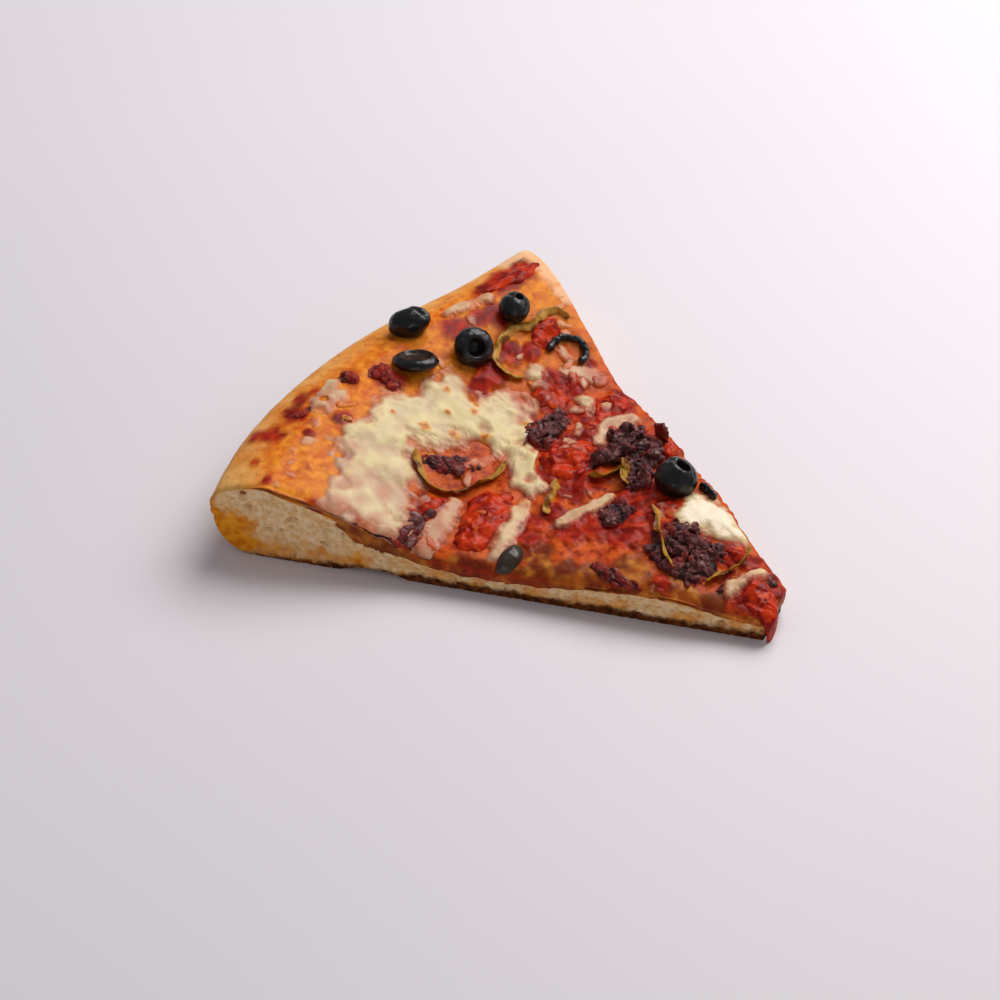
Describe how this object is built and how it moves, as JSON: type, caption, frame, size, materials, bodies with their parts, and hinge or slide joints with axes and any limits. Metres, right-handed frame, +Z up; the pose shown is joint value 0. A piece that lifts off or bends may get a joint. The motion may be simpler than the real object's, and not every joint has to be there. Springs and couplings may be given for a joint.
{
  "type": "pizza slice",
  "caption": "Cut slice of thick-crust pizza with tomato sauce, melted cheese, chopped cured meat, tomato, green pepper rings and black olives; it lies flat on its underside.",
  "frame": {"origin": "centre of the slice's bounding box, on the surface it lies on", "axes": "+Z up; +Y from the blunt point towards the crust, along the slice's middle; +X towards the back cut, so that the front cut, which shows the crumb, faces -X"},
  "size_m": [0.1526, 0.1699, 0.0366],
  "materials": {
    "dough": "baked bread crust, golden skin, pale open crumb at the cuts, browned underneath",
    "sauce": "oily orange-red tomato sauce",
    "cheese": "melted cheese, cream to pink, with toasted spots",
    "tomato": "wet cooked tomato",
    "meat": "crumbly dark cured meat",
    "pepper": "thin cooked green pepper",
    "olive": "smooth black olive skin"
  },
  "bodies": {
    "root": {"cheese_back_a": "cheese", "cheese_back_b": "cheese", "cheese_back_c": "cheese", "cheese_edge": "cheese", "cheese_front_a": "cheese", "cheese_front_b": "cheese", "cheese_left": "cheese", "cheese_main": "cheese", "cheese_middle": "cheese", "cheese_point_patch": "cheese", "cheese_point_strip": "cheese", "cheese_rim": "cheese", "dough": "dough", "meat_crust_a": "meat", "meat_crust_b": "meat", "meat_crust_c": "meat", "meat_crust_d": "meat", "meat_curl": "meat", "meat_front": "meat", "meat_front_slope": "meat", "meat_in_curl": "meat", "meat_large": "meat", "meat_middle": "meat", "meat_point": "meat", "meat_point_edge": "meat", "meat_small": "meat", "meat_under_cheese": "meat", "olive_arc": "olive", "olive_cap": "olive", "olive_crust": "olive", "olive_front": "olive", "olive_point": "olive", "olive_ring": "olive", "olive_slice": "olive", "olive_sliver": "olive", "pepper_curl_back": "pepper", "pepper_curl_middle": "pepper", "pepper_point": "pepper", "pepper_strip_large": "pepper", "pepper_strip_middle": "pepper", "pepper_strip_point": "pepper", "sauce": "sauce", "tomato_back": "tomato", "tomato_back_edge": "tomato", "tomato_crust": "tomato", "tomato_curl": "tomato", "tomato_drape": "tomato", "tomato_front": "tomato", "tomato_front_bit": "tomato", "tomato_middle": "tomato", "tomato_point": "tomato", "tomato_small": "tomato", "tomato_upper": "tomato"}
  },
  "joints": []
}
